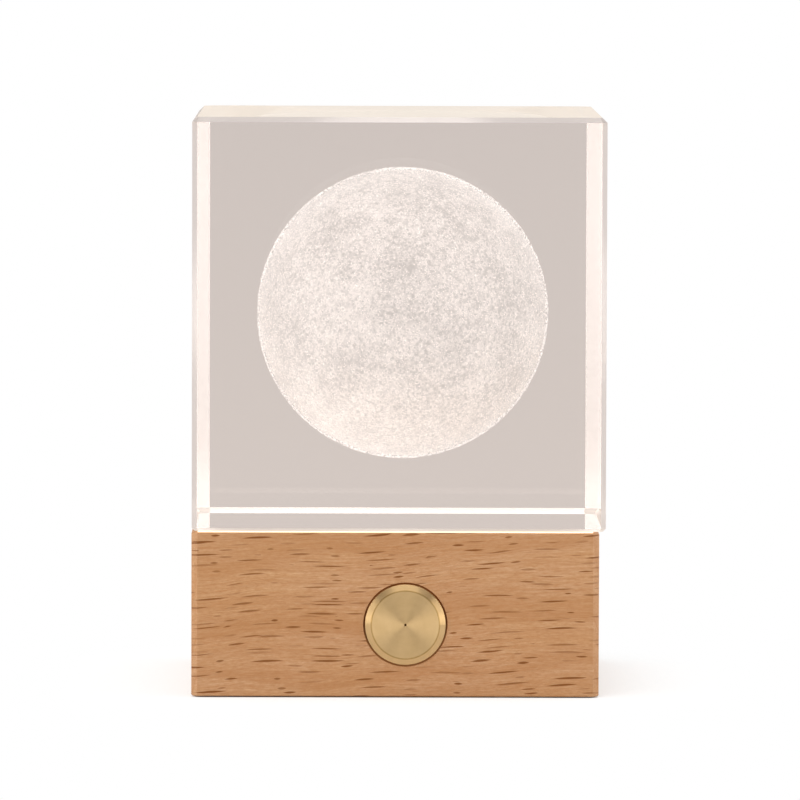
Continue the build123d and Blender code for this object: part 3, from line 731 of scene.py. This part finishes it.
def turnedBrass(look, middle):
    # yellow brass, turned on a lathe: rings round the middle that draw the light into two fans
    material, tree = newMaterial("turnedBrass")
    place = placeInMm(tree)
    fromAxis = addNode(tree, "VectorMath", {0: place, 1: tuple(middle / mm)}, operation="SUBTRACT")
    fromAxis = addNode(tree, "VectorMath", {0: fromAxis, 1: (1.0, 0.0, 1.0)}, operation="MULTIPLY")
    radius = addNode(tree, "VectorMath", {0: fromAxis}, operation="LENGTH")
    ringPlace = addNode(tree, "CombineXYZ", {"X": radius})
    rings = patches(tree, ringPlace, (look["groove"],) * 3, detail=2.0, roughness=0.7)
    wearSize, wearShare = look["wear"]
    wear = patches(tree, place, (wearSize,) * 3)
    # tarnish stays in the centre mark and along the edge of the face
    toMark = addNode(tree, "Math", {0: radius, 1: look["markRadius"]}, operation="LESS_THAN")
    toEdge = addNode(tree, "Math", {0: radius, 1: look["faceRadius"]}, operation="SUBTRACT")
    toEdge = addNode(tree, "Math", {0: toEdge}, operation="ABSOLUTE")
    near, far, most = look["edge"]
    toEdge = addNode(tree, "MapRange", {
        "Value": toEdge, "From Min": near, "From Max": far, "To Min": most, "To Max": 0.0,
    })
    old = addNode(tree, "Math", {0: wear, 1: wearShare, 2: toEdge}, operation="MULTIPLY_ADD")
    colour = addNode(tree, "Mix", {
        "Factor": old, "A": look["colour"], "B": look["tarnish"],
    }, data_type="RGBA")
    colour = addNode(tree, "Mix", {"Factor": toMark, "A": colour, "B": look["markColour"]}, data_type="RGBA")
    smoothest, roughest = look["roughness"]
    roughness = addNode(tree, "MapRange", {"Value": rings, "To Min": smoothest, "To Max": roughest})
    fall = addNode(tree, "Math", {0: radius, 1: -tan(radians(look["dome"]))}, operation="MULTIPLY")
    height = addNode(tree, "Math", {0: rings, 1: look["grooveDepth"], 2: fall}, operation="MULTIPLY_ADD")
    shader = addNode(tree, "BsdfPrincipled", {
        "Base Color": colour,
        "Metallic": 1.0,
        "Roughness": roughness,
        "Anisotropic": look["anisotropy"],
        "Anisotropic Rotation": 0.25,  # along the rings
        "Tangent": addNode(tree, "Tangent", direction_type="RADIAL", axis="Y"),
        "Normal": addNode(tree, "Bump", {"Height": height, "Distance": mm}),
    })
    addNode(tree, "OutputMaterial", {"Surface": shader})
    return material


dress(turnedBrass(brass, buttonMiddle), "brass_button")
print("button turned")


# Moulded plastics: the grain is the tool's spark-eroded or blasted texture

mouldings = {
    # spark-eroded ABS: an even fine pebble that scatters the light
    "bottom_cover": {
        "material": "erodedBlackAbs", "colour": "#1B1B1C", "second": "#262627",
        "grain": 0.35, "roughness": 0.62, "depth": 0.02, "ior": 1.53,
    },
    # polyamide with glass fibre: close to black, dry sheen, faint flow marks
    "switch_body": {
        "material": "mouldedBlackNylon", "colour": "#161617", "second": "#222224",
        "grain": 0.25, "roughness": 0.5, "depth": 0.01, "ior": 1.53,
    },
    # acetal, unfilled: smoother and a little waxy
    "switch_plunger": {
        "material": "mouldedBlackAcetal", "colour": "#1A1A1B", "second": "#232324",
        "grain": 0.5, "roughness": 0.34, "depth": 0.004, "ior": 1.48,
    },
    # liquid-crystal polymer: matt black with fine streaks along the flow
    "charging_socket_tongue": {
        "material": "mouldedBlackLcp", "colour": "#121213", "second": "#1E1E20",
        "grain": 0.2, "roughness": 0.46, "depth": 0.008, "ior": 1.6,
    },
    # filled epoxy: dull black with a sandy grain
    "circuit_chips": {
        "material": "mouldedChipEpoxy", "colour": "#1C1C1D", "second": "#2B2B2C",
        "grain": 0.12, "roughness": 0.66, "depth": 0.008, "ior": 1.55,
    },
    # white polyphthalamide: bright, satin, slightly cream
    "lamp_packages": {
        "material": "mouldedWhiteLampHousing", "colour": "#EFEBE0", "second": "#E4DFD2",
        "grain": 0.3, "roughness": 0.42, "depth": 0.006, "ior": 1.53,
    },
}


def mouldedPlastic(look):
    material, tree = newMaterial(look["material"])
    place = placeInMm(tree)
    pebble = patches(tree, place, (look["grain"],) * 3, detail=2.0)
    cloudy = patches(tree, place, (look["grain"] * 8,) * 3)
    mottle = addNode(tree, "Math", {0: cloudy, 1: 0.5}, operation="MULTIPLY")
    mottle = addNode(tree, "Math", {0: pebble, 1: 0.5, 2: mottle}, operation="MULTIPLY_ADD")
    colour = addNode(tree, "Mix", {
        "Factor": mottle, "A": look["colour"], "B": look["second"],
    }, data_type="RGBA")
    roughness = addNode(tree, "MapRange", {
        "Value": pebble, "To Min": look["roughness"] - 0.05, "To Max": look["roughness"] + 0.05,
    })
    shader = addNode(tree, "BsdfPrincipled", {
        "Base Color": colour,
        "Roughness": roughness,
        "IOR": look["ior"],
        "Normal": addNode(tree, "Bump", {"Height": pebble, "Distance": look["depth"] * mm}),
    })
    addNode(tree, "OutputMaterial", {"Surface": shader})
    return material


for nodeName, mouldingLook in mouldings.items():
    dress(mouldedPlastic(mouldingLook), nodeName)
print("mouldings dressed")


# Thin and plated metals: streaks run the way the sheet was rolled or the shell was drawn

metals = {
    # zinc plate on steel screws: a cold silver with small crystalline patches
    "zincPlatedSteel": {
        "on": ["cover_screws", "board_screws"], "colour": "#B9BCC0", "second": "#9A9DA3",
        "streak": (0.3, 0.3, 0.3), "roughness": 0.34, "anisotropy": 0.0, "depth": 0.003,
    },
    # tin plate, rolled and stamped: soft grey, faint lines along the strip
    "rolledTinPlate": {
        "on": ["switch_cover", "switch_bracket", "switch_terminals", "chip_legs"], "colour": "#C9C7C2",
        "second": "#ABA9A4", "streak": (4.0, 0.1, 0.1), "roughness": 0.38, "anisotropy": 0.4, "depth": 0.002,
    },
    # stainless spring strip, bright rolled: sharper and slightly yellow
    "rolledSpringSteel": {
        "on": ["switch_dome"], "colour": "#C2BEB4", "second": "#A6A297",
        "streak": (3.0, 0.1, 0.1), "roughness": 0.24, "anisotropy": 0.5, "depth": 0.001,
    },
    # nickel plate on a deep-drawn shell: bright and warm, with drawing lines into the socket
    "drawnNickelPlate": {
        "on": ["charging_socket_shell"], "colour": "#CFC9BF", "second": "#B4AEA3",
        "streak": (0.08, 3.0, 0.08), "roughness": 0.2, "anisotropy": 0.3, "depth": 0.001,
    },
    # gold flash on copper contacts: rich yellow, smooth
    "goldPlatedCopper": {
        "on": ["charging_socket_contacts"], "colour": "#E3BE72", "second": "#CFA457",
        "streak": (0.06, 1.5, 0.06), "roughness": 0.22, "anisotropy": 0.2, "depth": 0.001,
    },
}


def platedMetal(name, look):
    # streaks set the gloss; broader patches are a little dulled by handling
    material, tree = newMaterial(name)
    place = placeInMm(tree)
    streaks = patches(tree, place, look["streak"], roughness=0.7)
    dulled = patches(tree, place, (1.5, 1.5, 1.5))
    colour = addNode(tree, "Mix", {
        "Factor": dulled, "A": look["colour"], "B": look["second"],
    }, data_type="RGBA")
    roughness = addNode(tree, "MapRange", {
        "Value": streaks, "To Min": look["roughness"] - 0.04, "To Max": look["roughness"] + 0.06,
    })
    shader = addNode(tree, "BsdfPrincipled", {
        "Base Color": colour,
        "Metallic": 1.0,
        "Roughness": roughness,
        "Anisotropic": look["anisotropy"],
        "Normal": addNode(tree, "Bump", {"Height": streaks, "Distance": look["depth"] * mm}),
    })
    addNode(tree, "OutputMaterial", {"Surface": shader})
    return material


for metalName, metalLook in metals.items():
    dress(platedMetal(metalName, metalLook), *metalLook["on"])
print("metals dressed")


# Board: woven glass in epoxy under a white solder mask

board = {
    "mask": "#E9EAE6",
    "cloth": "#DFE0DA",
    "copper": "#D9D3BE",  # where a trace lies under the mask
    "weave": 0.45,        # mm between threads
    "trace": 1.6,         # mm between traces
}


def solderMaskedLaminate(look):
    # white lacquer over copper and a glass weave: satin, traces faintly raised, cloth showing as a fine grid
    material, tree = newMaterial("solderMaskedLaminate")
    place = placeInMm(tree)
    threads = []
    for axis in ("X", "Y"):
        wave = addNode(tree, "TexWave", {
            "Vector": place, "Scale": 2 * pi / 20 / look["weave"], "Distortion": 0.0,
        }, bands_direction=axis)
        threads.append(wave.outputs["Fac"])
    weave = addNode(tree, "Math", {0: threads[0], 1: threads[1]}, operation="MULTIPLY")
    squares = addNode(tree, "VectorMath", {0: place, 1: (look["trace"],) * 3}, operation="DIVIDE")
    traces = addNode(tree, "TexVoronoi", {
        "Vector": squares, "Scale": 1.0,
    }, distance="MANHATTAN", feature="F2")
    raised = addNode(tree, "MapRange", {"Value": traces, "From Min": 0.9, "From Max": 0.95})
    colour = addNode(tree, "Mix", {"Factor": weave, "A": look["mask"], "B": look["cloth"]}, data_type="RGBA")
    overTrace = addNode(tree, "Math", {0: raised, 1: 0.35}, operation="MULTIPLY")
    colour = addNode(tree, "Mix", {"Factor": overTrace, "A": colour, "B": look["copper"]}, data_type="RGBA")
    height = addNode(tree, "Math", {0: weave, 1: 0.15, 2: raised}, operation="MULTIPLY_ADD")
    shader = addNode(tree, "BsdfPrincipled", {
        "Base Color": colour,
        "Roughness": addNode(tree, "MapRange", {"Value": weave, "To Min": 0.38, "To Max": 0.46}),
        "IOR": 1.5,
        "Normal": addNode(tree, "Bump", {"Height": height, "Distance": 0.03 * mm}),
    })
    addNode(tree, "OutputMaterial", {"Surface": shader})
    return material


dress(solderMaskedLaminate(board), "control_board")
print("board dressed")


# Lamps, window and film: what the light comes from and goes through

lights = {
    # silicone with yellow phosphor, lit from inside
    "lamp_phosphors": {
        "material": "litPhosphorSilicone", "colour": "#E8C244", "second": "#DDB033", "size": 0.3,
        "roughness": 0.4, "depth": 0.01, "glowColour": "#FFE2AE", "glow": 4.0,
    },
    # opal acrylic disc, cast: an even milky glow
    "light_window": {
        "material": "castOpalAcrylic", "colour": "#FFF8EC", "second": "#FBF0DF", "size": 3.0,
        "roughness": 0.5, "depth": 0.01, "glowColour": "#FFF4E2", "glow": 0.7,
    },
    # clear bonding film, squeezed thin: it carries the lamps' light to its edge
    "adhesive_film": {
        "material": "clearBondingFilm", "colour": "#FFF3DE", "second": "#FFE9C8", "size": 2.0,
        "roughness": 0.3, "depth": 0.01, "glowColour": "#FFE6BE", "glow": 0.9,
    },
}


def litPlastic(look):
    # all three pass the lamps' light on, a little unevenly
    material, tree = newMaterial(look["material"])
    cloudy = patches(tree, placeInMm(tree), (look["size"],) * 3)
    colour = addNode(tree, "Mix", {
        "Factor": cloudy, "A": look["colour"], "B": look["second"],
    }, data_type="RGBA")
    roughness = addNode(tree, "MapRange", {
        "Value": cloudy, "To Min": look["roughness"] - 0.05, "To Max": look["roughness"] + 0.05,
    })
    glow = addNode(tree, "MapRange", {
        "Value": cloudy, "To Min": 0.95 * look["glow"], "To Max": 1.05 * look["glow"],
    })
    shader = addNode(tree, "BsdfPrincipled", {
        "Base Color": colour,
        "Roughness": roughness,
        "Emission Color": look["glowColour"],
        "Emission Strength": glow,
        "Normal": addNode(tree, "Bump", {"Height": cloudy, "Distance": look["depth"] * mm}),
    })
    addNode(tree, "OutputMaterial", {"Surface": shader})
    return material


for nodeName, litLook in lights.items():
    dress(litPlastic(litLook), nodeName)
print("lamps dressed")


# Soft, wrapped and fired pieces

wraps = {
    # closed-cell EVA foam, cut from sheet: small cells in a dead matt black
    "grip_pad": {
        "material": "cutEvaFoam", "colour": "#1B1A19", "second": "#2C2A28",
        "size": (0.4, 0.4, 0.4), "roughness": 0.88, "depth": 0.06, "metallic": 0.0, "coat": 0.0,
    },
    # white polyethylene foam tape: chalky, open-looking
    "battery_foam_tape": {
        "material": "cutWhiteFoamTape", "colour": "#E6E5E0", "second": "#CFCEC8",
        "size": (0.35, 0.35, 0.35), "roughness": 0.9, "depth": 0.05, "metallic": 0.0, "coat": 0.0,
    },
    # aluminium-laminate pouch, pressed: soft silver with shallow wrinkles
    "battery_cell": {
        "material": "pressedPouchFoil", "colour": "#B9BABC", "second": "#A5A6A9",
        "size": (3.5, 1.6, 1.2), "roughness": 0.36, "depth": 0.12, "metallic": 0.85, "coat": 0.0,
    },
    # polyimide tape: clear amber with a hard gloss
    "battery_end_tape": {
        "material": "glossyAmberTape", "colour": "#B8741A", "second": "#A6630F",
        "size": (2.0, 2.0, 2.0), "roughness": 0.3, "depth": 0.03, "metallic": 0.0, "coat": 0.8,
    },
    # silicone-sheathed leads: extruded, a dull sheen with fine drag lines
    "battery_lead_positive": {
        "material": "extrudedRedSilicone", "colour": "#B31512", "second": "#960F0D",
        "size": (0.6, 0.6, 0.6), "roughness": 0.44, "depth": 0.01, "metallic": 0.0, "coat": 0.0,
    },
    "battery_lead_negative": {
        "material": "extrudedBlackSilicone", "colour": "#19191A", "second": "#252526",
        "size": (0.6, 0.6, 0.6), "roughness": 0.44, "depth": 0.01, "metallic": 0.0, "coat": 0.0,
    },
    # thick-film resistors: fired alumina under a black glaze
    "chip_resistors": {
        "material": "glazedAlumina", "colour": "#26262A", "second": "#35353A",
        "size": (0.25, 0.25, 0.25), "roughness": 0.4, "depth": 0.006, "metallic": 0.0, "coat": 0.3,
    },
    # ceramic capacitors: fired tan barium titanate, dull and even
    "chip_capacitors": {
        "material": "firedTanCeramic", "colour": "#A98D6B", "second": "#94795A",
        "size": (0.2, 0.2, 0.2), "roughness": 0.52, "depth": 0.006, "metallic": 0.0, "coat": 0.0,
    },
}


def wrapped(look):
    # broad unevenness and a finer grain over it, both from the same size
    material, tree = newMaterial(look["material"])
    place = placeInMm(tree)
    uneven = patches(tree, place, look["size"], roughness=0.65)
    fine = patches(tree, place, tuple(side / 4 for side in look["size"]), detail=1.0)
    height = addNode(tree, "Math", {0: fine, 1: 0.2, 2: uneven}, operation="MULTIPLY_ADD")
    colour = addNode(tree, "Mix", {
        "Factor": uneven, "A": look["colour"], "B": look["second"],
    }, data_type="RGBA")
    roughness = addNode(tree, "MapRange", {
        "Value": fine, "To Min": look["roughness"] - 0.06, "To Max": look["roughness"] + 0.06,
    })
    shader = addNode(tree, "BsdfPrincipled", {
        "Base Color": colour,
        "Metallic": look["metallic"],
        "Roughness": roughness,
        "Coat Weight": look["coat"],
        "Normal": addNode(tree, "Bump", {"Height": height, "Distance": look["depth"] * mm}),
    })
    addNode(tree, "OutputMaterial", {"Surface": shader})
    return material


for nodeName, wrapLook in wraps.items():
    dress(wrapped(wrapLook), nodeName)
print("soft and fired pieces dressed")
